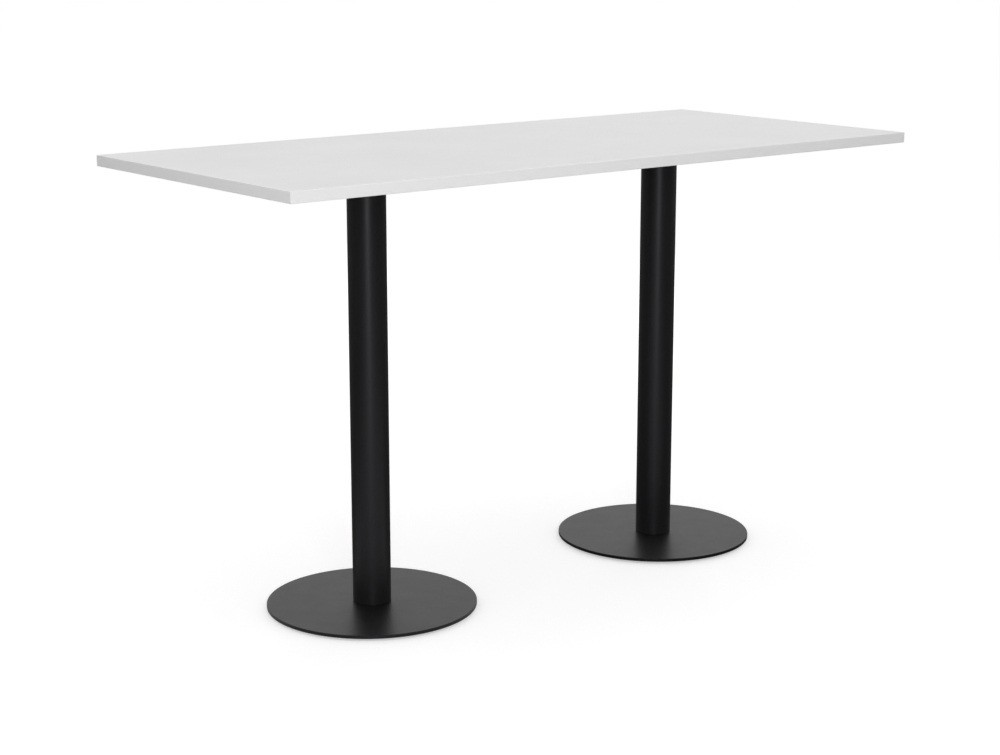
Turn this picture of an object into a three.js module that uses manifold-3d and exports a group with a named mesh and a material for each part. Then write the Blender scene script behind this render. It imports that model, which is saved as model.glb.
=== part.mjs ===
// Standing meeting table: a laminated board on two round steel pedestals.
// Millimetres, +Z up. The origin is on the floor under the middle of the board,
// +X runs along the long side and -Y is the front.
import * as THREE from 'three';
import { mergeVertices } from 'three/addons/utils/BufferGeometryUtils.js';
import Module from 'manifold-3d';

const wasm = await Module();
wasm.setup();

// Overall sizes
const TABLE_HEIGHT = 1050; // floor to the working surface
const TOP_LENGTH = 1800;
const TOP_DEPTH = 800;
const PEDESTAL_SPACING = 890; // between the two column axes

// Board: chipboard core, a laminate on each face and a plastic band round the edge
const BOARD_THICKNESS = 25; // over both laminates
const LAMINATE_THICKNESS = 0.8;
const EDGE_BAND_THICKNESS = 2;
const EDGE_BAND_ARRIS = 1.2; // radius along the band's outer edges
const BOARD_CORNER = 2; // radius of the board's corners in plan

// Column: a tube with a tapped plug welded into each end
const COLUMN_DIAMETER = 88.9;
const COLUMN_WALL = 2;
const FOOT_PLUG_THICKNESS = 12;
const HEAD_PLUG_THICKNESS = 10;

// Base plate
const BASE_DIAMETER = 490;
const BASE_THICKNESS = 8;
const BASE_ARRIS = 1; // chamfer on both rims

// Square plate between the column and the board
const TOP_PLATE_SIDE = 360;
const TOP_PLATE_THICKNESS = 5;
const TOP_PLATE_CORNER = 20;

// Countersunk bolts, from below into the foot plug and from above into the head plug
const BOLTS_PER_END = 4;
const COUNTERSUNK_HEAD = 2; // head diameter in shank diameters
const BOLT_EDGE_DISTANCE = 17; // bolt axis in from the plug's rim
const BASE_BOLT_DIAMETER = 10;
const BASE_BOLT_SOCKET = 6; // across the flats
const HEAD_BOLT_DIAMETER = 8;
const HEAD_BOLT_SOCKET = 5;
const BOLT_SOCKET_DEPTH = 3;
const BOLT_TIP_SETBACK = 2; // tip short of the plug's far face

// Pan-head screws through the top plate's corners into the board
const TOP_SCREW_DIAMETER = 5;
const TOP_SCREW_HEAD_DIAMETER = 10;
const TOP_SCREW_HEAD_HEIGHT = 3;
const TOP_SCREW_CROWN = 6; // diameter of the flat on the head
const TOP_SCREW_CROWN_DROP = 1.5; // from that flat to the head's full diameter
const TOP_SCREW_INSET = 25; // screw axis in from the plate's edges
const TOP_SCREW_COVER = 9; // board left over the screw's tip

// Levelling glides: a stud that turns in the base plate and a pad that it carries
const GLIDES_PER_BASE = 4;
const GLIDE_INSET = 38; // glide axis in from the base plate's rim
const PAD_DIAMETER = 36;
const PAD_FLOOR = 1.5; // pad under the stud's head
const PAD_LIP = 1.1; // pad over the stud's head
const PAD_ARRIS = 0.6;
const PAD_KEY_HOLE = 6; // diameter, lets the key reach the stud
const STUD_DIAMETER = 8;
const STUD_HEAD_DIAMETER = 16;
const STUD_HEAD_THICKNESS = 2;
const STUD_SOCKET = 4;
const STUD_SOCKET_DEPTH = 2.5;
const STUD_TIP_CHAMFER = 0.6;
const STUD_HOLE_COVER = 2; // base plate left over the stud's blind hole

// Clearances
const SEAT_GAP = 0.1; // between faces that are bolted or glued together
const WELD_GAP = 0.2; // round a plug in its tube
const THREAD_CLEARANCE = 0.1; // round a thread, drawn plain
const BOLT_CLEARANCE = 0.5; // round a shank in a plain hole
const RUNNING_CLEARANCE = 0.15; // round the stud's head in its pad
const TIP_CLEARANCE = 0.3; // past the tip of a screw or stud in a blind hole
const CUT_OVERRUN = 0.5; // how far a cutter runs past the face that it opens

// Facets round each kind of piece
const BASE_SIDES = 72;
const COLUMN_SIDES = 48;
const PAD_SIDES = 16;
const SCREW_SIDES = 12;
const HEX_SIDES = 6;
const ARC_STEPS = 4; // along a rounded corner or arris

// Heights, from the floor up
const padHeight = PAD_FLOOR + STUD_HEAD_THICKNESS + PAD_LIP + 2 * RUNNING_CLEARANCE;
const studBottom = PAD_FLOOR + RUNNING_CLEARANCE;
const baseBottom = padHeight + SEAT_GAP;
const baseTop = baseBottom + BASE_THICKNESS;
const columnBottom = baseTop + SEAT_GAP;
const boardBottom = TABLE_HEIGHT - BOARD_THICKNESS;
const plateTop = boardBottom - SEAT_GAP;
const plateBottom = plateTop - TOP_PLATE_THICKNESS;
const columnTop = plateBottom - SEAT_GAP;

// Sizes that follow from the ones above
const plugRadius = COLUMN_DIAMETER / 2 - COLUMN_WALL - WELD_GAP;
const boltCircle = plugRadius - BOLT_EDGE_DISTANCE;
const glideCircle = BASE_DIAMETER / 2 - GLIDE_INSET;
const studHoleDepth = BASE_THICKNESS - STUD_HOLE_COVER;
const screwReach = TOP_PLATE_SIDE / 2 - TOP_SCREW_INSET;
const screwTip = TABLE_HEIGHT - TOP_SCREW_COVER;

// Finishes
const material = (color, roughness, metalness) =>
  new THREE.MeshStandardMaterial({ color, roughness, metalness });
const finish = {
  laminate: material('#e1e2e1', 0.45, 0),
  band: material('#e6e7e6', 0.4, 0),
  chipboard: material('#b89a6c', 0.9, 0),
  powderCoat: material('#1b1b1d', 0.45, 0),
  steel: material('#8f8f8b', 0.35, 1),
  zinc: material('#b9bcc0', 0.3, 1),
  nylon: material('#161616', 0.6, 0),
};

// Closed geometry to a solid and back
function solidOf(geometry) {
  const bare = geometry.clone();
  bare.deleteAttribute('normal');
  bare.deleteAttribute('uv');
  const merged = mergeVertices(bare);
  return new wasm.Manifold(new wasm.Mesh({
    numProp: 3,
    vertProperties: new Float32Array(merged.attributes.position.array),
    triVerts: Uint32Array.from(merged.index.array),
  }));
}

function geometryOf(solid) {
  const { vertProperties, triVerts } = solid.getMesh();
  const geometry = new THREE.BufferGeometry();
  geometry.setAttribute('position', new THREE.BufferAttribute(vertProperties, 3));
  geometry.setIndex(new THREE.BufferAttribute(triVerts, 1));
  geometry.computeVertexNormals();
  return geometry;
}

function cut(geometry, cutters) {
  const left = cutters.reduce((body, cutter) => body.subtract(solidOf(cutter)), solidOf(geometry));
  return geometryOf(left);
}

// Basic shapes, all standing on z = 0 along +Z
function turned(profile, sides) {
  const points = profile.map(([radius, z]) => new THREE.Vector2(radius, z));
  return new THREE.LatheGeometry(points, sides).rotateX(Math.PI / 2);
}

function turnedRing(profile, sides) {
  return turned([...profile, profile[0]], sides);
}

function rod(radius, length, sides) {
  return turned([[0, 0], [radius, 0], [radius, length], [0, length]], sides);
}

// A round hole drawn with flats that all clear the given radius
function drill(radius, length, sides) {
  return rod(radius / Math.cos(Math.PI / sides), length, sides);
}

// A hexagon socket, given across its flats
function hexKey(acrossFlats, length) {
  return drill(acrossFlats / 2, length, HEX_SIDES);
}

function block(length, depth, height) {
  return new THREE.BoxGeometry(length, depth, height).translate(0, 0, height / 2);
}

function roundedOutline(length, depth, corner) {
  const x = length / 2 - corner;
  const y = depth / 2 - corner;
  const quarter = Math.PI / 2;
  const outline = new THREE.Shape();
  outline.absarc(x, y, corner, 0, quarter);
  outline.absarc(-x, y, corner, quarter, 2 * quarter);
  outline.absarc(-x, -y, corner, 2 * quarter, 3 * quarter);
  outline.absarc(x, -y, corner, 3 * quarter, 4 * quarter);
  return outline;
}

// Places round a circle and at the corners of a square
function circlePlaces(count, radius, startAngle) {
  return Array.from({ length: count }, (_, index) => {
    const angle = startAngle + (index * 2 * Math.PI) / count;
    return [radius * Math.cos(angle), radius * Math.sin(angle)];
  });
}

const boltPlaces = circlePlaces(BOLTS_PER_END, boltCircle, 0);
const glidePlaces = circlePlaces(GLIDES_PER_BASE, glideCircle, Math.PI / GLIDES_PER_BASE);
const screwPlaces = [[1, 1], [-1, 1], [-1, -1], [1, -1]].map(([x, y]) => [x * screwReach, y * screwReach]);
const pedestalPlaces = { left: -PEDESTAL_SPACING / 2, right: PEDESTAL_SPACING / 2 };

function drillAt(places, makeDrill, z) {
  return places.map(([x, y]) => makeDrill().translate(x, y, z));
}

function place(group, name, geometry, look, [x, y, z]) {
  const mesh = new THREE.Mesh(geometry, look);
  mesh.name = name;
  mesh.position.set(x, y, z);
  group.add(mesh);
}

// Fasteners

// Countersunk bolt, head down: its flat head lies on z = 0
function countersunkProfile(radius, length, clearance) {
  const headRadius = COUNTERSUNK_HEAD * radius;
  return [
    [0, 0],
    [headRadius + clearance, 0],
    [radius + clearance, headRadius - radius],
    [radius + clearance, length],
    [0, length],
  ];
}

function countersunkBolt(diameter, length, socket) {
  const shank = turned(countersunkProfile(diameter / 2, length, 0), SCREW_SIDES);
  const key = hexKey(socket, BOLT_SOCKET_DEPTH + CUT_OVERRUN).translate(0, 0, -CUT_OVERRUN);
  return cut(shank, [key]);
}

// Cutter for a countersunk bolt's plain hole through a plate
function countersink(diameter, plateThickness) {
  const spread = 1 / Math.cos(Math.PI / SCREW_SIDES);
  const profile = countersunkProfile(diameter / 2, plateThickness + CUT_OVERRUN, BOLT_CLEARANCE);
  const mouth = [[0, -CUT_OVERRUN], [profile[1][0], -CUT_OVERRUN], ...profile.slice(1)];
  return turned(mouth.map(([radius, z]) => [radius * spread, z]), SCREW_SIDES);
}

function topScrew() {
  const radius = TOP_SCREW_DIAMETER / 2;
  const headRadius = TOP_SCREW_HEAD_DIAMETER / 2;
  const length = screwTip - plateBottom + SEAT_GAP;
  const pointLength = TOP_SCREW_DIAMETER;
  return turned([
    [0, -TOP_SCREW_HEAD_HEIGHT],
    [TOP_SCREW_CROWN / 2, -TOP_SCREW_HEAD_HEIGHT],
    [headRadius, TOP_SCREW_CROWN_DROP - TOP_SCREW_HEAD_HEIGHT],
    [headRadius, 0],
    [radius, 0],
    [radius, length - pointLength],
    [0, length],
  ], SCREW_SIDES);
}

// Board

function boardScrewHoles(bottom) {
  const length = screwTip + TIP_CLEARANCE - bottom + CUT_OVERRUN;
  const makeDrill = () => drill(TOP_SCREW_DIAMETER / 2 + THREAD_CLEARANCE, length, SCREW_SIDES);
  return Object.values(pedestalPlaces).flatMap((pedestalX) =>
    drillAt(screwPlaces.map(([x, y]) => [x + pedestalX, y]), makeDrill, -CUT_OVERRUN));
}

// The whole board's outer form, with its rounded corners and arrises, standing on z = 0
function boardForm() {
  const form = new THREE.ExtrudeGeometry(roundedOutline(TOP_LENGTH, TOP_DEPTH, BOARD_CORNER), {
    depth: BOARD_THICKNESS - 2 * EDGE_BAND_ARRIS,
    curveSegments: ARC_STEPS,
    bevelThickness: EDGE_BAND_ARRIS,
    bevelSize: EDGE_BAND_ARRIS,
    bevelOffset: -EDGE_BAND_ARRIS,
    bevelSegments: ARC_STEPS,
  });
  return solidOf(form.translate(0, 0, EDGE_BAND_ARRIS));
}

// The slice of the board's form that one edge band takes up
function edgeBand(form, length, depth, [x, y]) {
  const slice = block(length, depth, BOARD_THICKNESS).translate(x, y, 0);
  return geometryOf(form.intersect(solidOf(slice)));
}

function board() {
  const group = new THREE.Group();
  const inset = EDGE_BAND_THICKNESS + SEAT_GAP;
  const length = TOP_LENGTH - 2 * inset;
  const depth = TOP_DEPTH - 2 * inset;
  const coreBottom = LAMINATE_THICKNESS + SEAT_GAP;
  const coreThickness = BOARD_THICKNESS - 2 * coreBottom;
  const bottom = [0, 0, boardBottom];

  const underside = block(length, depth, LAMINATE_THICKNESS);
  place(group, 'underside_laminate', cut(underside, boardScrewHoles(boardBottom)), finish.laminate, bottom);
  const core = block(length, depth, coreThickness);
  const coreZ = boardBottom + coreBottom;
  place(group, 'core_board', cut(core, boardScrewHoles(coreZ)), finish.chipboard, [0, 0, coreZ]);
  const upperZ = TABLE_HEIGHT - LAMINATE_THICKNESS;
  place(group, 'upper_laminate', block(length, depth, LAMINATE_THICKNESS), finish.laminate, [0, 0, upperZ]);

  const form = boardForm();
  const middleX = (TOP_LENGTH - EDGE_BAND_THICKNESS) / 2;
  const middleY = (TOP_DEPTH - EDGE_BAND_THICKNESS) / 2;
  const longBand = (y) => edgeBand(form, TOP_LENGTH, EDGE_BAND_THICKNESS, [0, y]);
  const shortBand = (x) => edgeBand(form, EDGE_BAND_THICKNESS, depth, [x, 0]);
  place(group, 'edge_band_front', longBand(-middleY), finish.band, bottom);
  place(group, 'edge_band_back', longBand(middleY), finish.band, bottom);
  place(group, 'edge_band_left', shortBand(-middleX), finish.band, bottom);
  place(group, 'edge_band_right', shortBand(middleX), finish.band, bottom);
  return group;
}

// Pedestal

function basePlate() {
  const radius = BASE_DIAMETER / 2;
  const disc = turned([
    [0, 0],
    [radius - BASE_ARRIS, 0],
    [radius, BASE_ARRIS],
    [radius, BASE_THICKNESS - BASE_ARRIS],
    [radius - BASE_ARRIS, BASE_THICKNESS],
    [0, BASE_THICKNESS],
  ], BASE_SIDES);
  const studHole = () =>
    drill(STUD_DIAMETER / 2 + THREAD_CLEARANCE, studHoleDepth + CUT_OVERRUN, SCREW_SIDES);
  return cut(disc, [
    ...drillAt(boltPlaces, () => countersink(BASE_BOLT_DIAMETER, BASE_THICKNESS), 0),
    ...drillAt(glidePlaces, studHole, -CUT_OVERRUN),
  ]);
}

function columnTube() {
  const outer = COLUMN_DIAMETER / 2;
  const inner = outer - COLUMN_WALL;
  const length = columnTop - columnBottom;
  return turnedRing([[inner, 0], [outer, 0], [outer, length], [inner, length]], COLUMN_SIDES);
}

function plug(thickness, boltDiameter) {
  const tapped = () =>
    drill(boltDiameter / 2 + THREAD_CLEARANCE, thickness + 2 * CUT_OVERRUN, SCREW_SIDES);
  return cut(rod(plugRadius, thickness, COLUMN_SIDES), drillAt(boltPlaces, tapped, -CUT_OVERRUN));
}

function topPlate() {
  const sheet = new THREE.ExtrudeGeometry(roundedOutline(TOP_PLATE_SIDE, TOP_PLATE_SIDE, TOP_PLATE_CORNER), {
    depth: TOP_PLATE_THICKNESS,
    curveSegments: ARC_STEPS,
    bevelEnabled: false,
  });
  const screwHole = () =>
    drill(TOP_SCREW_DIAMETER / 2 + BOLT_CLEARANCE, TOP_PLATE_THICKNESS + 2 * CUT_OVERRUN, SCREW_SIDES);
  const boltHole = () => countersink(HEAD_BOLT_DIAMETER, TOP_PLATE_THICKNESS).rotateX(Math.PI);
  return cut(sheet, [
    ...drillAt(screwPlaces, screwHole, -CUT_OVERRUN),
    ...drillAt(boltPlaces, boltHole, TOP_PLATE_THICKNESS),
  ]);
}

// Pad standing on the floor, hollow round the stud's head
function glidePad() {
  const outer = PAD_DIAMETER / 2;
  const key = PAD_KEY_HOLE / 2;
  const roof = padHeight - PAD_LIP;
  const hollow = (STUD_HEAD_DIAMETER / 2 + RUNNING_CLEARANCE) / Math.cos(Math.PI / PAD_SIDES);
  const collar = (STUD_DIAMETER / 2 + BOLT_CLEARANCE) / Math.cos(Math.PI / PAD_SIDES);
  return turnedRing([
    [key, 0],
    [outer - PAD_ARRIS, 0],
    [outer, PAD_ARRIS],
    [outer, padHeight - PAD_ARRIS],
    [outer - PAD_ARRIS, padHeight],
    [collar, padHeight],
    [collar, roof],
    [hollow, roof],
    [hollow, PAD_FLOOR],
    [key, PAD_FLOOR],
  ], PAD_SIDES);
}

// Stud with its flat head on z = 0
function glideStud() {
  const radius = STUD_DIAMETER / 2;
  const headRadius = STUD_HEAD_DIAMETER / 2;
  const length = baseBottom + studHoleDepth - TIP_CLEARANCE - studBottom;
  const stud = turned([
    [0, 0],
    [headRadius, 0],
    [headRadius, STUD_HEAD_THICKNESS],
    [radius, STUD_HEAD_THICKNESS],
    [radius, length - STUD_TIP_CHAMFER],
    [radius - STUD_TIP_CHAMFER, length],
    [0, length],
  ], SCREW_SIDES);
  return cut(stud, [hexKey(STUD_SOCKET, STUD_SOCKET_DEPTH + CUT_OVERRUN).translate(0, 0, -CUT_OVERRUN)]);
}

function pedestal(side) {
  const group = new THREE.Group();
  group.position.x = pedestalPlaces[side];
  const add = (name, geometry, look, spot) => place(group, `${side}_${name}`, geometry, look, spot);
  const onAxis = (z) => [0, 0, z];

  add('base_plate', basePlate(), finish.powderCoat, onAxis(baseBottom));
  add('column_tube', columnTube(), finish.powderCoat, onAxis(columnBottom));
  add('foot_plug', plug(FOOT_PLUG_THICKNESS, BASE_BOLT_DIAMETER), finish.steel, onAxis(columnBottom));
  const headPlugZ = columnTop - HEAD_PLUG_THICKNESS;
  add('head_plug', plug(HEAD_PLUG_THICKNESS, HEAD_BOLT_DIAMETER), finish.steel, onAxis(headPlugZ));
  add('top_plate', topPlate(), finish.powderCoat, onAxis(plateBottom));

  const baseBoltLength = columnBottom + FOOT_PLUG_THICKNESS - BOLT_TIP_SETBACK - baseBottom;
  const headBoltLength = plateTop - headPlugZ - BOLT_TIP_SETBACK;
  boltPlaces.forEach(([x, y], index) => {
    const baseBolt = countersunkBolt(BASE_BOLT_DIAMETER, baseBoltLength, BASE_BOLT_SOCKET);
    add(`base_bolt_${index + 1}`, baseBolt, finish.zinc, [x, y, baseBottom]);
    const headBolt = countersunkBolt(HEAD_BOLT_DIAMETER, headBoltLength, HEAD_BOLT_SOCKET);
    add(`head_bolt_${index + 1}`, headBolt.rotateX(Math.PI), finish.zinc, [x, y, plateTop]);
  });
  screwPlaces.forEach(([x, y], index) => {
    add(`top_screw_${index + 1}`, topScrew(), finish.zinc, [x, y, plateBottom - SEAT_GAP]);
  });
  glidePlaces.forEach(([x, y], index) => {
    add(`glide_pad_${index + 1}`, glidePad(), finish.nylon, [x, y, 0]);
    add(`glide_stud_${index + 1}`, glideStud(), finish.zinc, [x, y, studBottom]);
  });
  return group;
}

const table = new THREE.Group();
table.add(board());
for (const side of Object.keys(pedestalPlaces)) {
  table.add(pedestal(side));
}

export default table;
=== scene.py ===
import bmesh
import bpy
import math
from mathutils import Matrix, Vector


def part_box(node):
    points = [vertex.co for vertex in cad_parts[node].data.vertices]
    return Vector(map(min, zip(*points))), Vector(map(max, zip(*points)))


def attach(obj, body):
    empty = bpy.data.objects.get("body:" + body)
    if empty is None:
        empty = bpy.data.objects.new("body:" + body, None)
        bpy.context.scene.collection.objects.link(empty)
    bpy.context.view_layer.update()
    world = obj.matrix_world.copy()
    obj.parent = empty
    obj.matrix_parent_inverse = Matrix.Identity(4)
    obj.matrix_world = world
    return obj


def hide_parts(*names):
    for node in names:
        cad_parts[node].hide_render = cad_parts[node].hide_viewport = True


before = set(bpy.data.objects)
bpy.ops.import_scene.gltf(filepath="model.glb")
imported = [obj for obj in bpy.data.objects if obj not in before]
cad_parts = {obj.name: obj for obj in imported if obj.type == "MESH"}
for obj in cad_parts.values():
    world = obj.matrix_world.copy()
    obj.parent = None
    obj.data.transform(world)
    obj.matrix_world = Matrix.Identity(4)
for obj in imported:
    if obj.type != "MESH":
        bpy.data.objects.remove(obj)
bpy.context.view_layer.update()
mm = 0.001
sides = ("left", "right")
numbers = range(1, 5)    # each pedestal has four of every fastener and glide
print("frame loaded:", len(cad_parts), "nodes")


# helpers for reading the frame

def middle(node):
    low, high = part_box(node)
    return (low + high) / 2


def sizeOf(node):
    low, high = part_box(node)
    return high - low


def footOf(node):
    # a point on the piece's upright axis, at its lowest level
    spot = middle(node)
    spot.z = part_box(node)[0].z
    return spot


# helpers for modelling
mergeGap = 0.002 * mm            # points that lie closer are one point
creaseAngle = math.radians(35)   # edges that turn more stay crisp
rimAngle = math.radians(57)      # edges that turn more are rims to be eased
alike = 0.9                      # directions with a larger cosine are the same


def deselect():
    if bpy.context.object and bpy.context.object.mode != "OBJECT":
        bpy.ops.object.mode_set(mode="OBJECT")
    bpy.ops.object.select_all(action="DESELECT")


def takeUp(piece):
    deselect()
    piece.select_set(True)
    bpy.context.view_layer.objects.active = piece


def pick(kind, test):
    # in edit mode, selects only the faces, edges or verts that pass the test
    bpy.ops.mesh.select_mode(type=kind)
    bpy.ops.mesh.select_all(action="DESELECT")
    mesh = bmesh.from_edit_mesh(bpy.context.object.data)
    for part in {"FACE": mesh.faces, "EDGE": mesh.edges, "VERT": mesh.verts}[kind]:
        if test(part):
            part.select_set(True)
    bmesh.update_edit_mesh(bpy.context.object.data)


def nameIt(name):
    piece = bpy.context.object
    piece.name = name
    piece.data.name = name
    return piece


def settle():
    # leaves edit mode and puts the place into the mesh
    bpy.ops.object.mode_set(mode="OBJECT")
    bpy.ops.object.transform_apply(location=True, rotation=True, scale=True)


def addBlock(name, low, high):
    deselect()
    bpy.ops.mesh.primitive_cube_add(size=1, location=(low + high) / 2, scale=high - low)
    bpy.ops.object.transform_apply(location=True, rotation=True, scale=True)
    return nameIt(name)


def turnUp(name, outline, foot, steps, ring=False):
    # spins an outline of (radius, height) points about the upright axis through foot
    deselect()
    bpy.ops.mesh.primitive_plane_add(size=mm, location=foot)
    bpy.ops.object.transform_apply(location=True)
    piece = nameIt(name)
    bpy.ops.object.mode_set(mode="EDIT")
    bpy.ops.mesh.select_mode(type="VERT")
    bpy.ops.mesh.select_all(action="SELECT")
    bpy.ops.mesh.merge(type="CENTER")
    bpy.ops.transform.translate(value=(outline[0][0], 0, outline[0][1]))
    for start, end in zip(outline, outline[1:]):
        step = (end[0] - start[0], 0, end[1] - start[1])
        bpy.ops.mesh.extrude_vertices_move(TRANSFORM_OT_translate={"value": step})
    if ring:
        pick("VERT", lambda vert: len(vert.link_edges) == 1)
        bpy.ops.mesh.edge_face_add()
    bpy.ops.mesh.select_all(action="SELECT")
    bpy.ops.mesh.spin(steps=steps, angle=2 * math.pi, center=foot, axis=(0, 0, 1))
    bpy.ops.mesh.select_all(action="SELECT")
    bpy.ops.mesh.remove_doubles(threshold=mergeGap)
    bpy.ops.mesh.normals_make_consistent(inside=False)
    bpy.ops.object.mode_set(mode="OBJECT")
    return piece


def copyTo(piece, name, shift):
    takeUp(piece)
    bpy.ops.object.duplicate(linked=False)
    copy = nameIt(name)
    bpy.ops.transform.translate(value=shift)
    bpy.ops.object.transform_apply(location=True)
    return copy


def joinUp(pieces):
    takeUp(pieces[0])
    for piece in pieces[1:]:
        piece.select_set(True)
    bpy.ops.object.join()
    return pieces[0]


def carve(piece, cutter):
    # cuts with a boolean, clears the slivers it leaves and throws the cutter away
    takeUp(piece)
    bpy.ops.object.modifier_add(type="BOOLEAN")
    modifier = piece.modifiers[-1]
    modifier.operation = "DIFFERENCE"
    modifier.solver = "EXACT"
    modifier.object = cutter
    bpy.ops.object.modifier_apply(modifier=modifier.name)
    bpy.ops.object.mode_set(mode="EDIT")
    bpy.ops.mesh.select_mode(type="VERT")
    bpy.ops.mesh.select_all(action="SELECT")
    bpy.ops.mesh.remove_doubles(threshold=mergeGap)
    bpy.ops.mesh.dissolve_degenerate(threshold=mergeGap)
    bpy.ops.object.mode_set(mode="OBJECT")
    takeUp(cutter)
    bpy.ops.object.delete()


def smoothOff(piece):
    # smooth curves, true flats: large faces keep their own normal
    takeUp(piece)
    bpy.ops.object.shade_smooth_by_angle(angle=creaseAngle)
    bpy.ops.object.modifier_add(type="WEIGHTED_NORMAL")
    modifier = piece.modifiers[-1]
    modifier.keep_sharp = True
    bpy.ops.object.modifier_apply(modifier=modifier.name)


def fitOut(piece, finish, body, node):
    piece.data.materials.clear()
    piece.data.materials.append(finish)
    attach(piece, body)
    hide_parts(node)


# helpers for materials

def linear(hexColour):
    shares = [int(hexColour[i:i + 2], 16) / 255 for i in (1, 3, 5)]
    curve = [s / 12.92 if s <= 0.04045 else ((s + 0.055) / 1.055) ** 2.4 for s in shares]
    return (*curve, 1.0)


def addNode(tree, kind, settings=None, inputs=None):
    node = tree.nodes.new(kind)
    for name, value in (settings or {}).items():
        setattr(node, name, value)
    for name, value in (inputs or {}).items():
        if isinstance(value, bpy.types.NodeSocket):
            tree.links.new(value, node.inputs[name])
        else:
            node.inputs[name].default_value = value
    return node


def startMaterial(name):
    material = bpy.data.materials.new(name)
    material.use_nodes = True
    tree = material.node_tree
    where = addNode(tree, "ShaderNodeTexCoord").outputs["Object"]
    return material, tree, tree.nodes["Principled BSDF"], where


def perMetre(millimetres):
    # a texture scale that gives features of this size
    return 1 / (millimetres * mm)


# white high-pressure laminate, pressed against a finely pearled plate: an even satin white
# whose pearl breaks up reflections, with faint clouds of wiping marks in the sheen
laminateLook = {
    "light": "#e1e1e1", "dark": "#dedede", "cloud": 260, "pearl": 1.6, "pearlDepth": 0.012,
    "smooth": 0.4, "dull": 0.5, "ior": 1.5,
}


def makeLaminate():
    look = laminateLook
    material, tree, shader, where = startMaterial("white_laminate")
    cloud = addNode(tree, "ShaderNodeTexNoise", {}, {
        "Vector": where, "Scale": perMetre(look["cloud"]), "Detail": 4, "Roughness": 0.6})
    colour = addNode(tree, "ShaderNodeMix", {"data_type": "RGBA"}, {
        0: cloud.outputs["Fac"], 6: linear(look["light"]), 7: linear(look["dark"])})
    sheen = addNode(tree, "ShaderNodeMapRange", {}, {
        "Value": cloud.outputs["Fac"], "From Min": 0.3, "From Max": 0.7,
        "To Min": look["smooth"], "To Max": look["dull"]})
    # the real pearl is about 0.3 mm, drawn coarser so that it shows
    pearl = addNode(tree, "ShaderNodeTexVoronoi", {"feature": "SMOOTH_F1"}, {
        "Vector": where, "Scale": perMetre(look["pearl"]), "Smoothness": 0.6})
    bump = addNode(tree, "ShaderNodeBump", {}, {
        "Height": pearl.outputs["Distance"], "Strength": 0.35, "Distance": look["pearlDepth"] * mm})
    tree.links.new(colour.outputs[2], shader.inputs["Base Color"])
    tree.links.new(sheen.outputs["Result"], shader.inputs["Roughness"])
    tree.links.new(bump.outputs["Normal"], shader.inputs["Normal"])
    shader.inputs["IOR"].default_value = look["ior"]
    return material


# white ABS edge band, extruded and then scraped flush: a touch glossier than the laminate,
# with faint lines along its length where the scraper ran
bandLook = {
    "light": "#eeeeee", "dark": "#ebebeb", "lineLength": 240, "lineWidth": 0.9, "lineDepth": 0.006,
    "smooth": 0.32, "dull": 0.42, "ior": 1.52,
}


def makeBand():
    look = bandLook
    material, tree, shader, where = startMaterial("white_abs_edging")
    stretch = addNode(tree, "ShaderNodeMapping", {}, {
        "Vector": where, "Scale": (perMetre(look["lineLength"]), perMetre(look["lineLength"]),
                                   perMetre(look["lineWidth"]))})
    lines = addNode(tree, "ShaderNodeTexNoise", {}, {
        "Vector": stretch.outputs["Vector"], "Scale": 1, "Detail": 3, "Roughness": 0.55})
    colour = addNode(tree, "ShaderNodeMix", {"data_type": "RGBA"}, {
        0: lines.outputs["Fac"], 6: linear(look["light"]), 7: linear(look["dark"])})
    sheen = addNode(tree, "ShaderNodeMapRange", {}, {
        "Value": lines.outputs["Fac"], "From Min": 0.3, "From Max": 0.7,
        "To Min": look["smooth"], "To Max": look["dull"]})
    bump = addNode(tree, "ShaderNodeBump", {}, {
        "Height": lines.outputs["Fac"], "Strength": 0.4, "Distance": look["lineDepth"] * mm})
    tree.links.new(colour.outputs[2], shader.inputs["Base Color"])
    tree.links.new(sheen.outputs["Result"], shader.inputs["Roughness"])
    tree.links.new(bump.outputs["Normal"], shader.inputs["Normal"])
    shader.inputs["IOR"].default_value = look["ior"]
    return material


# black polyester powder coat, baked on steel: a deep satin black that mirrors softly at a
# low angle, with the fine orange peel that the powder leaves as it flows out
coatLook = {
    "light": "#0c0c0d", "dark": "#09090a", "cloud": 45, "peel": 2.2, "peelDepth": 0.012,
    "smooth": 0.37, "dull": 0.4, "ior": 1.36, "tint": "#f6f6ff",
}


def makeCoat():
    look = coatLook
    material, tree, shader, where = startMaterial("black_powder_coat")
    cloud = addNode(tree, "ShaderNodeTexNoise", {}, {
        "Vector": where, "Scale": perMetre(look["cloud"]), "Detail": 5, "Roughness": 0.6})
    colour = addNode(tree, "ShaderNodeMix", {"data_type": "RGBA"}, {
        0: cloud.outputs["Fac"], 6: linear(look["light"]), 7: linear(look["dark"])})
    sheen = addNode(tree, "ShaderNodeMapRange", {}, {
        "Value": cloud.outputs["Fac"], "From Min": 0.3, "From Max": 0.7,
        "To Min": look["smooth"], "To Max": look["dull"]})
    peel = addNode(tree, "ShaderNodeTexNoise", {}, {
        "Vector": where, "Scale": perMetre(look["peel"]), "Detail": 2, "Roughness": 0.5})
    bump = addNode(tree, "ShaderNodeBump", {}, {
        "Height": peel.outputs["Fac"], "Strength": 0.4, "Distance": look["peelDepth"] * mm})
    tree.links.new(colour.outputs[2], shader.inputs["Base Color"])
    tree.links.new(sheen.outputs["Result"], shader.inputs["Roughness"])
    tree.links.new(bump.outputs["Normal"], shader.inputs["Normal"])
    shader.inputs["IOR"].default_value = look["ior"]
    shader.inputs["Specular Tint"].default_value = linear(look["tint"])
    return material


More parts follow.
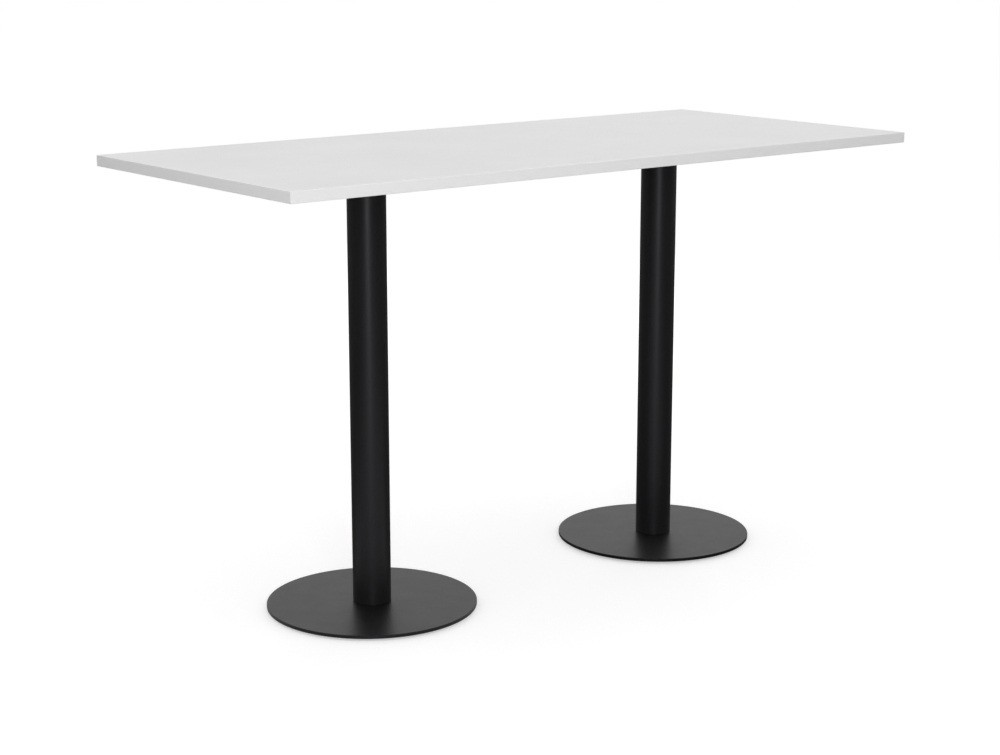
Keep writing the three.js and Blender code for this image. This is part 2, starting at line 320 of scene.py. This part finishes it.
# bright zinc plate on cold-headed fasteners: silvery, faintly blue and straw in patches,
# with the fine scuffs of a tumbling barrel
zincLook = {"blue": "#b9c0c6", "straw": "#c4c0b2", "patch": 4, "scuff": 0.5, "smooth": 0.24, "dull": 0.4}


def makeZinc():
    look = zincLook
    material, tree, shader, where = startMaterial("bright_zinc_plate")
    patch = addNode(tree, "ShaderNodeTexNoise", {}, {
        "Vector": where, "Scale": perMetre(look["patch"]), "Detail": 2})
    colour = addNode(tree, "ShaderNodeMix", {"data_type": "RGBA"}, {
        0: patch.outputs["Fac"], 6: linear(look["blue"]), 7: linear(look["straw"])})
    scuff = addNode(tree, "ShaderNodeTexNoise", {}, {
        "Vector": where, "Scale": perMetre(look["scuff"]), "Detail": 4, "Roughness": 0.7})
    sheen = addNode(tree, "ShaderNodeMapRange", {}, {
        "Value": scuff.outputs["Fac"], "From Min": 0.3, "From Max": 0.7,
        "To Min": look["smooth"], "To Max": look["dull"]})
    tree.links.new(colour.outputs[2], shader.inputs["Base Color"])
    tree.links.new(sheen.outputs["Result"], shader.inputs["Roughness"])
    shader.inputs["Metallic"].default_value = 1
    return material


# mild steel faced in a lathe: grey, with a dull bloom over fine tool marks
steelLook = {"light": "#9a9a96", "dark": "#83837f", "mark": 0.8, "smooth": 0.35, "dull": 0.5}


def makeSteel():
    look = steelLook
    material, tree, shader, where = startMaterial("turned_mild_steel")
    marks = addNode(tree, "ShaderNodeTexNoise", {}, {
        "Vector": where, "Scale": perMetre(look["mark"]), "Detail": 3})
    colour = addNode(tree, "ShaderNodeMix", {"data_type": "RGBA"}, {
        0: marks.outputs["Fac"], 6: linear(look["light"]), 7: linear(look["dark"])})
    sheen = addNode(tree, "ShaderNodeMapRange", {}, {
        "Value": marks.outputs["Fac"], "To Min": look["smooth"], "To Max": look["dull"]})
    tree.links.new(colour.outputs[2], shader.inputs["Base Color"])
    tree.links.new(sheen.outputs["Result"], shader.inputs["Roughness"])
    shader.inputs["Metallic"].default_value = 1
    return material


# raw chipboard: pale wood flakes pressed together, each its own shade of tan
chipLook = {"pale": "#cdb184", "deep": "#94713f", "flake": 5, "fibre": 0.8, "fibreDepth": 0.1, "dull": 0.85}


def makeChipboard():
    look = chipLook
    material, tree, shader, where = startMaterial("chipboard")
    flakes = addNode(tree, "ShaderNodeTexVoronoi", {}, {
        "Vector": where, "Scale": perMetre(look["flake"])})
    shade = addNode(tree, "ShaderNodeSeparateColor", {}, {"Color": flakes.outputs["Color"]})
    colour = addNode(tree, "ShaderNodeMix", {"data_type": "RGBA"}, {
        0: shade.outputs["Red"], 6: linear(look["pale"]), 7: linear(look["deep"])})
    fibre = addNode(tree, "ShaderNodeTexNoise", {}, {
        "Vector": where, "Scale": perMetre(look["fibre"]), "Detail": 3})
    bump = addNode(tree, "ShaderNodeBump", {}, {
        "Height": fibre.outputs["Fac"], "Strength": 0.5, "Distance": look["fibreDepth"] * mm})
    tree.links.new(colour.outputs[2], shader.inputs["Base Color"])
    tree.links.new(bump.outputs["Normal"], shader.inputs["Normal"])
    shader.inputs["Roughness"].default_value = look["dull"]
    return material


# black nylon, injection moulded in a spark-eroded tool: matt, with a fine even grit
nylonLook = {
    "light": "#1a1a1a", "dark": "#101010", "grit": 0.5, "gritDepth": 0.02,
    "smooth": 0.5, "dull": 0.62, "ior": 1.53,
}


def makeNylon():
    look = nylonLook
    material, tree, shader, where = startMaterial("moulded_black_nylon")
    grit = addNode(tree, "ShaderNodeTexNoise", {}, {
        "Vector": where, "Scale": perMetre(look["grit"]), "Detail": 2})
    colour = addNode(tree, "ShaderNodeMix", {"data_type": "RGBA"}, {
        0: grit.outputs["Fac"], 6: linear(look["light"]), 7: linear(look["dark"])})
    sheen = addNode(tree, "ShaderNodeMapRange", {}, {
        "Value": grit.outputs["Fac"], "To Min": look["smooth"], "To Max": look["dull"]})
    bump = addNode(tree, "ShaderNodeBump", {}, {
        "Height": grit.outputs["Fac"], "Strength": 0.4, "Distance": look["gritDepth"] * mm})
    tree.links.new(colour.outputs[2], shader.inputs["Base Color"])
    tree.links.new(sheen.outputs["Result"], shader.inputs["Roughness"])
    tree.links.new(bump.outputs["Normal"], shader.inputs["Normal"])
    shader.inputs["IOR"].default_value = look["ior"]
    return material


laminate = makeLaminate()
edging = makeBand()
powderCoat = makeCoat()
zinc = makeZinc()
turnedSteel = makeSteel()
chipboard = makeChipboard()
nylon = makeNylon()
print("materials made")


# solids that keep their shape and only get their finish
keptFinishes = {"upper_laminate": laminate, "underside_laminate": laminate, "core_board": chipboard}
for side in sides:
    keptFinishes[side + "_foot_plug"] = turnedSteel
    keptFinishes[side + "_head_plug"] = turnedSteel
    for number in numbers:
        keptFinishes[f"{side}_head_bolt_{number}"] = zinc
for node, finish in keptFinishes.items():
    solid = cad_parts[node]
    solid.data.materials.clear()
    solid.data.materials.append(finish)
print("kept solids finished:", len(keptFinishes))


# edge bands: strips with a rounded arris on every edge that is not glued to the board
edgeBand = {"arris": 1.2 * mm, "arrisSteps": 5}
inwards = {"front": Vector((0, 1, 0)), "back": Vector((0, -1, 0)),
           "left": Vector((1, 0, 0)), "right": Vector((-1, 0, 0))}


def makeEdgeBand(place):
    node = "edge_band_" + place
    low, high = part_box(node)
    piece = addBlock(place + "_edging", low, high)
    glued = inwards[place]
    endsShow = place in ("front", "back")     # the long bands cover the ends of the short ones

    def showing(edge):
        # an edge is rounded where both its faces show
        normals = [face.normal for face in edge.link_faces]
        if any(normal.dot(glued) > alike for normal in normals):
            return False
        return endsShow or not any(abs(normal.y) > alike for normal in normals)

    bpy.ops.object.mode_set(mode="EDIT")
    pick("EDGE", showing)
    bpy.ops.mesh.bevel(
        offset=edgeBand["arris"], segments=edgeBand["arrisSteps"], profile=0.5, affect="EDGES")
    settle()
    smoothOff(piece)
    fitOut(piece, edging, "table", node)


for place in inwards:
    makeEdgeBand(place)
print("edge bands made")


# base plates: laser-cut discs with an eased rim, countersunk for the bolts and drilled
# blind from below for the glides, so that the top stays unbroken
basePlate = {"sides": 192, "arris": 0.9 * mm, "arrisSteps": 3, "boltGap": 0.5 * mm, "studGap": 0.1 * mm,
             "holeSides": 32, "overrun": 1 * mm, "cover": 2 * mm}


def makeBasePlate(side):
    node = side + "_base_plate"
    size = sizeOf(node)
    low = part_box(node)[0].z
    over = basePlate["overrun"]
    deselect()
    bpy.ops.mesh.primitive_cylinder_add(
        vertices=basePlate["sides"], radius=size.x / 2, depth=size.z, location=middle(node))
    piece = nameIt(side + "_base_disc")
    bpy.ops.object.mode_set(mode="EDIT")
    pick("EDGE", lambda edge: edge.calc_face_angle(0) > rimAngle)
    bpy.ops.mesh.bevel(
        offset=basePlate["arris"], segments=basePlate["arrisSteps"], profile=0.5, affect="EDGES")
    settle()
    cutters = []
    for number in numbers:
        # the heads of bolts and studs are twice as wide as their shanks
        bolt = f"{side}_base_bolt_{number}"
        head = sizeOf(bolt).x / 2 + basePlate["boltGap"]
        shank = sizeOf(bolt).x / 4 + basePlate["boltGap"]
        sink = [(0, -over), (head + over, -over), (shank, head - shank),
                (shank, size.z + over), (0, size.z + over)]
        cutters.append(turnUp("bolt_cutter", sink, footOf(bolt), basePlate["holeSides"]))
        stud = f"{side}_glide_stud_{number}"
        radius = sizeOf(stud).x / 4 + basePlate["studGap"]
        foot = footOf(stud)
        foot.z = low
        depth = size.z - basePlate["cover"]
        drill = [(0, -over), (radius, -over), (radius, depth), (0, depth)]
        cutters.append(turnUp("stud_cutter", drill, foot, basePlate["holeSides"]))
    carve(piece, joinUp(cutters))
    smoothOff(piece)
    fitOut(piece, powderCoat, "table", node)


for side in sides:
    makeBasePlate(side)
print("base plates made")


# columns: seamless-looking round tubes, their ends turned square with a small chamfer,
# which leaves the fine dark line where the tube stands on the disc
column = {"sides": 128, "wall": 2 * mm, "chamfer": 0.6 * mm}


def makeColumn(side):
    node = side + "_column_tube"
    size = sizeOf(node)
    outer = size.x / 2
    inner = outer - column["wall"]
    cut = column["chamfer"]
    outline = [(inner, 0), (outer - cut, 0), (outer, cut),
               (outer, size.z - cut), (outer - cut, size.z), (inner, size.z)]
    piece = turnUp(side + "_column", outline, footOf(node), column["sides"], ring=True)
    smoothOff(piece)
    fitOut(piece, powderCoat, "table", node)


for side in sides:
    makeColumn(side)
print("columns made")


# top plates: square steel plates with round corners and an eased rim, screwed up into the board
topPlate = {"corner": 20 * mm, "cornerSteps": 10, "arris": 0.6 * mm, "arrisSteps": 2,
            "screwHole": 3 * mm, "boltHole": 4.5 * mm, "holeSides": 32, "overrun": 1 * mm}


def makeTopPlate(side):
    node = side + "_top_plate"
    low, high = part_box(node)
    piece = addBlock(side + "_mounting_plate", low, high)
    bpy.ops.object.mode_set(mode="EDIT")
    pick("EDGE", lambda edge: abs(edge.verts[0].co.z - edge.verts[1].co.z) > mm)
    bpy.ops.mesh.bevel(
        offset=topPlate["corner"], segments=topPlate["cornerSteps"], profile=0.5, affect="EDGES")
    pick("EDGE", lambda edge: edge.calc_face_angle(0) > rimAngle)
    bpy.ops.mesh.bevel(
        offset=topPlate["arris"], segments=topPlate["arrisSteps"], profile=0.5, affect="EDGES")
    settle()
    over = topPlate["overrun"]
    length = high.z - low.z
    cutters = []
    for number in numbers:
        for fastener, radius in (("top_screw", topPlate["screwHole"]), ("head_bolt", topPlate["boltHole"])):
            foot = middle(f"{side}_{fastener}_{number}")
            foot.z = low.z
            drill = [(0, -over), (radius, -over), (radius, length + over), (0, length + over)]
            cutters.append(turnUp("plate_cutter", drill, foot, topPlate["holeSides"]))
    carve(piece, joinUp(cutters))
    smoothOff(piece)
    fitOut(piece, powderCoat, "table", node)


for side in sides:
    makeTopPlate(side)
print("top plates made")


# base bolts: countersunk, with a hexagon socket and a softened rim, flush under the discs
baseBolt = {"sides": 40, "socket": 6 * mm, "socketDepth": 3 * mm, "rim": 0.3 * mm, "tip": 0.8 * mm}


def makeBaseBolt(node, name):
    size = sizeOf(node)
    head = size.x / 2
    shank = head / 2
    rim = baseBolt["rim"]
    tip = baseBolt["tip"]
    outline = [(0, 0), (head - rim, 0), (head, rim), (shank, head - shank + rim),
               (shank, size.z - tip), (shank - tip, size.z), (0, size.z)]
    piece = turnUp(name, outline, footOf(node), baseBolt["sides"])
    deselect()
    radius = baseBolt["socket"] / math.sqrt(3)
    bpy.ops.mesh.primitive_cylinder_add(
        vertices=6, radius=radius, depth=2 * baseBolt["socketDepth"], location=footOf(node))
    bpy.ops.object.transform_apply(location=True)
    carve(piece, bpy.context.object)
    smoothOff(piece)
    return piece


# top screws: pan heads with a cross recess, standing just below the mounting plates
topScrew = {"sides": 40, "domeSteps": 8, "headHeight": 3 * mm, "shank": 2.5 * mm, "recess": 5.2 * mm,
            "recessWidth": 1.1 * mm, "recessDepth": 1.7 * mm, "point": 5 * mm, "domeShare": 0.85}


def makeTopScrew(node, name):
    size = sizeOf(node)
    head = size.x / 2
    height = topScrew["headHeight"]
    shank = topScrew["shank"]
    dome = height * topScrew["domeShare"]
    # an elliptic crown from the axis out to the head's rim
    turns = [step / topScrew["domeSteps"] * math.pi / 2 for step in range(topScrew["domeSteps"] + 1)]
    crown = [(head * math.sin(turn), dome * (1 - math.cos(turn))) for turn in turns]
    outline = [*crown, (head, height), (shank, height), (shank, size.z - topScrew["point"]), (0, size.z)]
    foot = footOf(node)
    piece = turnUp(name, outline, foot, topScrew["sides"])
    reach = topScrew["recess"] / 2
    width = topScrew["recessWidth"] / 2
    depth = topScrew["recessDepth"]
    for long, wide in ((reach, width), (width, reach)):
        half = Vector((long, wide, depth))
        carve(piece, addBlock("slot_cutter", foot - half, foot + half))
    smoothOff(piece)
    return piece


# glide pads: low moulded discs with a soft rim, snapped over the stud's head
glidePad = {"sides": 64, "rim": 0.9 * mm, "rimSteps": 4, "floor": 1.5 * mm, "lip": 1.1 * mm,
            "key": 3 * mm, "collar": 4.5 * mm, "hollow": 8.15 * mm}


def makeGlidePad(node, name):
    size = sizeOf(node)
    outer = size.x / 2
    height = size.z
    rim = glidePad["rim"]
    turns = [step / glidePad["rimSteps"] * math.pi / 2 for step in range(glidePad["rimSteps"] + 1)]
    lower = [(outer - rim + rim * math.sin(turn), rim - rim * math.cos(turn)) for turn in turns]
    upper = [(radius, height - level) for radius, level in reversed(lower)]
    roof = height - glidePad["lip"]
    floorLevel = glidePad["floor"]
    key = glidePad["key"]
    collar = glidePad["collar"]
    hollow = glidePad["hollow"]
    outline = [(key, 0), *lower, *upper, (collar, height), (collar, roof),
               (hollow, roof), (hollow, floorLevel), (key, floorLevel)]
    piece = turnUp(name, outline, footOf(node), glidePad["sides"], ring=True)
    smoothOff(piece)
    return piece


# glide studs: a flat head with a hexagon socket, and a shank threaded up to its tip
glideStud = {"sides": 40, "headHeight": 2 * mm, "pitch": 1.25 * mm, "threadDepth": 0.7 * mm,
             "tip": 0.6 * mm, "socket": 4 * mm, "socketDepth": 2.5 * mm, "rim": 0.2 * mm,
             "crestFrom": 0.4, "crestTo": 0.6}     # the crest's share of each pitch


def makeGlideStud(node, name):
    size = sizeOf(node)
    head = size.x / 2
    crest = head / 2
    root = crest - glideStud["threadDepth"]
    height = glideStud["headHeight"]
    pitch = glideStud["pitch"]
    rim = glideStud["rim"]
    crestFrom = glideStud["crestFrom"] * pitch
    crestTo = glideStud["crestTo"] * pitch
    foot = footOf(node)
    outline = [(0, 0), (head - rim, 0), (head, rim), (head, height - rim),
               (head - rim, height), (root, height)]
    level = height
    while level + pitch < size.z - glideStud["tip"]:
        outline += [(crest, level + crestFrom), (crest, level + crestTo), (root, level + pitch)]
        level += pitch
    outline += [(root, size.z), (0, size.z)]
    piece = turnUp(name, outline, foot, glideStud["sides"])
    deselect()
    radius = glideStud["socket"] / math.sqrt(3)
    bpy.ops.mesh.primitive_cylinder_add(
        vertices=6, radius=radius, depth=2 * glideStud["socketDepth"], location=foot)
    bpy.ops.object.transform_apply(location=True)
    carve(piece, bpy.context.object)
    smoothOff(piece)
    return piece


# each fastener and foot is modelled once and copied to its other places
def repeat(kind, pieceKind, make, finish, bodyOf):
    first = f"{sides[0]}_{kind}_{numbers[0]}"
    pattern = make(first, f"{sides[0]}_{pieceKind}_{numbers[0]}")
    pieces = []
    for side in sides:
        for number in numbers:
            node = f"{side}_{kind}_{number}"
            name = f"{side}_{pieceKind}_{number}"
            piece = pattern if node == first else copyTo(pattern, name, footOf(node) - footOf(first))
            pieces.append((piece, node, bodyOf(side, number)))
    for piece, node, body in pieces:
        fitOut(piece, finish, body, node)
    print(kind, "pieces made:", len(pieces))


repeat("base_bolt", "disc_bolt", makeBaseBolt, zinc, lambda side, number: "table")
repeat("top_screw", "plate_screw", makeTopScrew, zinc, lambda side, number: "table")
repeat("glide_pad", "foot_pad", makeGlidePad, nylon, lambda side, number: f"{side}_pad_{number}")
repeat("glide_stud", "foot_stud", makeGlideStud, zinc, lambda side, number: f"{side}_stud_{number}")


# studio: a sheet of white paper lies before the table on a grey floor that runs out of sight
floor = {"size": 60, "ground": "#626261", "paper": "#e6e6e5", "paperWidth": 2.7, "paperNear": -6.2,
         "paperFar": -0.1, "paperTurn": 38.5, "fade": 0.2, "seen": "#dadada", "lift": 0.42,
         "clearance": 12 * mm, "gap": 0.3 * mm}


def makeFloor():
    deselect()
    # it lies a hair below the pads, so that the two faces never coincide
    bpy.ops.mesh.primitive_plane_add(size=floor["size"], location=(0, 0, -floor["gap"]))
    bpy.ops.object.transform_apply(location=True)
    ground = nameIt("studio_floor")
    material = bpy.data.materials.new("studio_paper")
    material.use_nodes = True
    tree = material.node_tree
    tree.nodes.remove(tree.nodes["Principled BSDF"])
    where = addNode(tree, "ShaderNodeTexCoord").outputs["Object"]
    along = addNode(tree, "ShaderNodeMapping", {}, {
        "Vector": where, "Rotation": (0, 0, math.radians(floor["paperTurn"]))})
    along = addNode(tree, "ShaderNodeSeparateXYZ", {}, {0: along.outputs["Vector"]})
    aside = addNode(tree, "ShaderNodeMath", {"operation": "ABSOLUTE"}, {0: along.outputs["X"]})
    edge = floor["paperWidth"] / 2
    within = addNode(tree, "ShaderNodeMapRange", {"interpolation_type": "SMOOTHSTEP"}, {
        "Value": aside.outputs[0], "From Min": edge, "From Max": edge - floor["fade"]})
    started = addNode(tree, "ShaderNodeMapRange", {"interpolation_type": "SMOOTHSTEP"}, {
        "Value": along.outputs["Y"], "From Min": floor["paperNear"],
        "From Max": floor["paperNear"] + floor["fade"], "To Max": within.outputs["Result"]})
    onPaper = addNode(tree, "ShaderNodeMapRange", {"interpolation_type": "SMOOTHSTEP"}, {
        "Value": along.outputs["Y"], "From Min": floor["paperFar"],
        "From Max": floor["paperFar"] - floor["fade"], "To Max": started.outputs["Result"]})
    real = addNode(tree, "ShaderNodeMix", {"data_type": "RGBA"}, {
        0: onPaper.outputs["Result"], 6: linear(floor["ground"]), 7: linear(floor["paper"])})
    path = addNode(tree, "ShaderNodeLightPath")
    # what looks straight at it sees an even white, with the table's shadow left on it
    looking = addNode(tree, "ShaderNodeMath", {"operation": "ADD", "use_clamp": True}, {
        0: path.outputs["Is Camera Ray"], 1: path.outputs["Is Transmission Ray"]}).outputs[0]
    colour = addNode(tree, "ShaderNodeMix", {"data_type": "RGBA"}, {
        0: looking, 6: real.outputs[2], 7: linear(floor["seen"])})
    surface = addNode(tree, "ShaderNodeBsdfDiffuse", {}, {"Color": colour.outputs[2]})
    lift = addNode(tree, "ShaderNodeMath", {"operation": "MULTIPLY"}, {0: looking, 1: floor["lift"]})
    glow = addNode(tree, "ShaderNodeEmission", {}, {"Strength": lift.outputs[0]})
    lit = addNode(tree, "ShaderNodeAddShader", {}, {0: surface.outputs[0], 1: glow.outputs[0]})
    # from underneath the floor is clear, and so it is to what lies close above it, so that the
    # undersides show and the light reaches them
    clear = addNode(tree, "ShaderNodeBsdfTransparent")
    behind = addNode(tree, "ShaderNodeNewGeometry").outputs["Backfacing"]
    close = addNode(tree, "ShaderNodeMath", {"operation": "LESS_THAN"}, {
        0: path.outputs["Ray Length"], 1: floor["clearance"]})
    through = addNode(tree, "ShaderNodeMath", {"operation": "MAXIMUM"}, {0: behind, 1: close.outputs[0]})
    both = addNode(tree, "ShaderNodeMixShader", {}, {
        0: through.outputs[0], 1: lit.outputs[0], 2: clear.outputs[0]})
    tree.links.new(both.outputs[0], tree.nodes["Material Output"].inputs["Surface"])
    ground.data.materials.append(material)


surroundings = {"light": 0.83, "white": 1.0}


def makeWorld():
    world = bpy.data.worlds.new("studio_surroundings")
    world.use_nodes = True
    bpy.context.scene.world = world
    tree = world.node_tree
    path = addNode(tree, "ShaderNodeLightPath")
    seen = addNode(tree, "ShaderNodeMath", {"operation": "ADD"}, {
        0: path.outputs["Is Camera Ray"], 1: path.outputs["Is Glossy Ray"]})
    seen = addNode(tree, "ShaderNodeMath", {"operation": "ADD", "use_clamp": True}, {
        0: seen.outputs[0], 1: path.outputs["Is Transmission Ray"]})
    strength = addNode(tree, "ShaderNodeMapRange", {}, {
        "Value": seen.outputs[0], "To Min": surroundings["light"], "To Max": surroundings["white"]})
    background = tree.nodes["Background"]
    background.inputs["Color"].default_value = (1, 1, 1, 1)
    tree.links.new(strength.outputs["Result"], background.inputs["Strength"])


# the main light stands beside the camera, a weak one lifts the far sides, and a low strip
# shows only in the gloss, as the soft line down each column
lamps = {
    "soft_box": {"stands": (-2.95, -4.25, 2.1), "width": 1.6, "height": 1.0, "watts": 66,
                 "lightsUp": True, "mirrored": False},
    "fill_panel": {"stands": (3.4, 3.0, 1.9), "width": 3.0, "height": 2.0, "watts": 42,
                   "lightsUp": True, "mirrored": False},
    "gloss_strip": {"stands": (-2.95, -4.25, 0.75), "width": 0.5, "height": 0.55, "watts": 32,
                    "lightsUp": False, "mirrored": True},
}
lampAim = Vector((0, 0, 0.8))


def makeLamp(name):
    lamp = lamps[name]
    deselect()
    bpy.ops.object.light_add(type="AREA", location=lamp["stands"])
    panel = bpy.context.object
    panel.name = name
    panel.data.shape = "RECTANGLE"
    panel.data.size = lamp["width"]
    panel.data.size_y = lamp["height"]
    panel.data.energy = lamp["watts"]
    panel.visible_diffuse = lamp["lightsUp"]
    panel.visible_glossy = lamp["mirrored"]
    panel.rotation_euler = (lampAim - Vector(lamp["stands"])).to_track_quat("-Z", "Y").to_euler()


# camera: stands left of the front, half a metre above the table top
camera = {"stands": (-3.010, -3.706, 1.564), "tiltDown": 12.76, "turnRight": 38.49,
          "lens": 72.8, "sensor": 36}


def makeCamera():
    deselect()
    bpy.ops.object.camera_add(location=camera["stands"])
    eye = bpy.context.object
    eye.name = "photo_camera"
    eye.rotation_euler = (math.radians(90 - camera["tiltDown"]), 0, -math.radians(camera["turnRight"]))
    eye.data.sensor_width = camera["sensor"]
    eye.data.lens = camera["lens"]
    bpy.context.scene.camera = eye


makeFloor()
makeWorld()
for name in lamps:
    makeLamp(name)
makeCamera()
bpy.context.scene.view_settings.view_transform = "Standard"
print("studio set")
